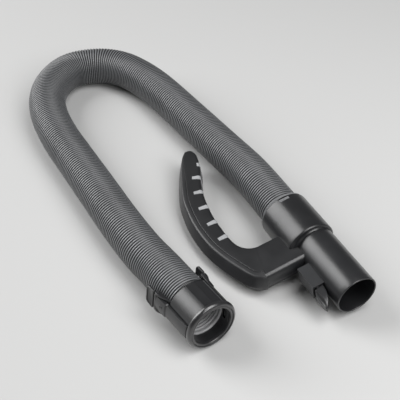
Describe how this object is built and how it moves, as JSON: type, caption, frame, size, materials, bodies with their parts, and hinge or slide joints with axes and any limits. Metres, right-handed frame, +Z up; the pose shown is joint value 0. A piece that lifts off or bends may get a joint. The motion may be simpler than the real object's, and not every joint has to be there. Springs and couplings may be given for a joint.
{
  "type": "vacuum cleaner hose",
  "caption": "Flexible ribbed vacuum cleaner hose lying in a loop, with a squeeze-latch cuff for the machine at one end and a wand handle with a hooked grip and catch at the other.",
  "frame": {"origin": "middle of the rectangle of floor that the rigid pieces cover, on the floor", "axes": "+Z up from the floor, +Y from the two open ends towards the loop of the hose, +X from the machine cuff's side towards the wand tube's side"},
  "size_m": [0.3556, 0.4376, 0.0506],
  "materials": {
    "shell_plastic": "charcoal grey moulded plastic, fine satin",
    "hose_vinyl": "black flexible plastic with a slight sheen",
    "tube_plastic": "charcoal grey tube, smooth satin",
    "inner_plastic": "black plastic, matt",
    "soft_grip": "black soft-touch rubber",
    "bar_plastic": "mid grey, matt",
    "soft_rim": "black rubber, slight sheen",
    "seal_rubber": "black, matt",
    "pin_steel": "plain ground steel",
    "spring_steel": "drawn wire",
    "screw_steel": "zinc plated"
  },
  "bodies": {
    "hose_and_handle": {"hose": "hose_vinyl", "cuff_body": "shell_plastic", "mouth_rim": "soft_rim", "latch_pin_left": "pin_steel", "latch_pin_right": "pin_steel", "latch_spring_left": "spring_steel", "latch_spring_right": "spring_steel", "hose_collar": "inner_plastic", "collar_seal": "seal_rubber", "handle_body": "shell_plastic", "wand_tube": "tube_plastic", "grip_underside": "shell_plastic", "grip_spine": "soft_grip", "finger_bars": "bar_plastic", "grip_screws": "screw_steel", "catch_housing": "shell_plastic", "catch_pin": "pin_steel", "catch_spring": "spring_steel"},
    "latch_left": {"latch_left": "shell_plastic"},
    "latch_right": {"latch_right": "shell_plastic"},
    "wand_catch": {"wand_catch": "shell_plastic"}
  },
  "joints": [
    {"name": "latch_left_pivot", "type": "hinge", "parent": "hose_and_handle", "child": "latch_left", "pos_m": [-0.09206, -0.08316, 0.02651], "axis": [-0.0891, -0.1163, -0.9892], "range_deg": [0, 9], "stiffness_Nm_per_rad": 0.2, "springref_deg": -11.46, "deforming": ["latch_spring_left"]},
    {"name": "latch_right_pivot", "type": "hinge", "parent": "hose_and_handle", "child": "latch_right", "pos_m": [-0.05132, -0.05572, 0.01962], "axis": [0.0891, 0.1163, 0.9892], "range_deg": [0, 9], "stiffness_Nm_per_rad": 0.2, "springref_deg": -11.46, "deforming": ["latch_spring_right"]},
    {"name": "wand_catch_pivot", "type": "hinge", "parent": "hose_and_handle", "child": "wand_catch", "pos_m": [0.048, -0.05836, 0.02124], "axis": [0.1543, 0.0797, -0.9848], "range_deg": [0, 8], "stiffness_Nm_per_rad": 0.15, "springref_deg": -14.32, "deforming": ["catch_spring"]}
  ]
}
